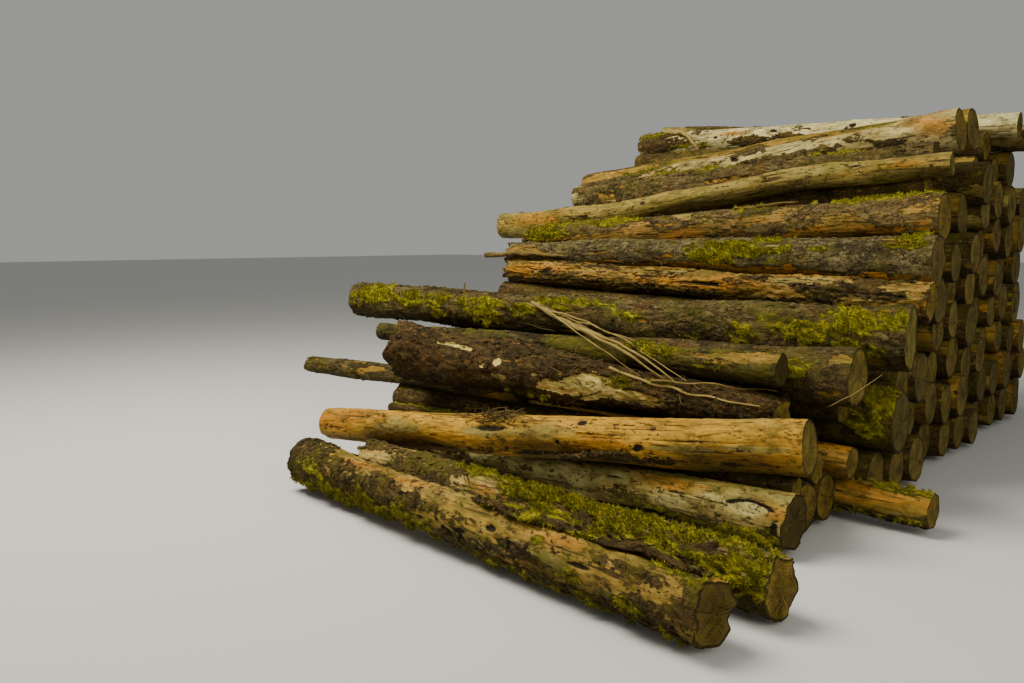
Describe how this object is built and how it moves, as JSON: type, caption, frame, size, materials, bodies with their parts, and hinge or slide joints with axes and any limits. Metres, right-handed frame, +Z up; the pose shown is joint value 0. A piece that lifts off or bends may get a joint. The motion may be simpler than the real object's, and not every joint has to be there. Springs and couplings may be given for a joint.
{
  "type": "log stack",
  "caption": "Stack of felled softwood logs cut to one length and piled parallel, with a loose ramp of bark-covered and debarked logs in front.",
  "frame": {"origin": "on the floor under the middle of the stack's bounding box", "axes": "+X along the logs towards the sawn ends of the right face, +Y from the loose front ramp back into the stack, +Z up"},
  "size_m": [4.4048, 6.1586, 2.4792],
  "materials": {
    "front_log": "rough",
    "mossy_front_log": "rough",
    "scarred_log": "rough",
    "low_hidden_log_1": "rough",
    "low_hidden_log_2": "rough",
    "orange_floor_log": "rough",
    "course_0_inner_logs": "rough",
    "thin_pole": "rough",
    "small_orange_log": "rough",
    "low_hidden_log_3": "rough",
    "golden_log": "rough",
    "moss_topped_log": "rough",
    "course_1_inner_logs": "rough",
    "low_hidden_log_4": "rough",
    "stray_pole": "rough",
    "lumpy_bark_log": "rough",
    "thin_green_log": "rough",
    "red_bark_log": "rough",
    "low_hidden_log_5": "rough",
    "course_2_inner_logs": "rough",
    "long_mossy_log": "rough",
    "course_3_inner_logs": "rough",
    "low_hidden_log_6": "rough",
    "splintered_log": "rough",
    "course_4_inner_logs": "rough",
    "grey_mossy_log": "rough",
    "pink_bark_log": "rough",
    "course_5_inner_logs": "rough",
    "wedged_log_1": "rough",
    "course_6_inner_logs": "rough",
    "snake_log": "rough",
    "rough_bark_log": "rough",
    "edge_log": "rough",
    "course_7_inner_logs": "rough",
    "wedged_log_2": "rough",
    "top_log": "rough",
    "back_top_log": "rough"
  },
  "bodies": {
    "root": {"front_log": "front_log", "mossy_front_log": "mossy_front_log", "scarred_log": "scarred_log", "low_hidden_log_1": "low_hidden_log_1", "low_hidden_log_2": "low_hidden_log_2", "orange_floor_log": "orange_floor_log", "course_0_inner_logs": "course_0_inner_logs", "thin_pole": "thin_pole", "small_orange_log": "small_orange_log", "low_hidden_log_3": "low_hidden_log_3", "golden_log": "golden_log", "moss_topped_log": "moss_topped_log", "course_1_inner_logs": "course_1_inner_logs", "low_hidden_log_4": "low_hidden_log_4", "stray_pole": "stray_pole", "lumpy_bark_log": "lumpy_bark_log", "thin_green_log": "thin_green_log", "red_bark_log": "red_bark_log", "low_hidden_log_5": "low_hidden_log_5", "course_2_inner_logs": "course_2_inner_logs", "long_mossy_log": "long_mossy_log", "course_3_inner_logs": "course_3_inner_logs", "low_hidden_log_6": "low_hidden_log_6", "splintered_log": "splintered_log", "course_4_inner_logs": "course_4_inner_logs", "grey_mossy_log": "grey_mossy_log", "pink_bark_log": "pink_bark_log", "course_5_inner_logs": "course_5_inner_logs", "wedged_log_1": "wedged_log_1", "course_6_inner_logs": "course_6_inner_logs", "snake_log": "snake_log", "rough_bark_log": "rough_bark_log", "edge_log": "edge_log", "course_7_inner_logs": "course_7_inner_logs", "wedged_log_2": "wedged_log_2", "top_log": "top_log", "back_top_log": "back_top_log"}
  },
  "joints": []
}
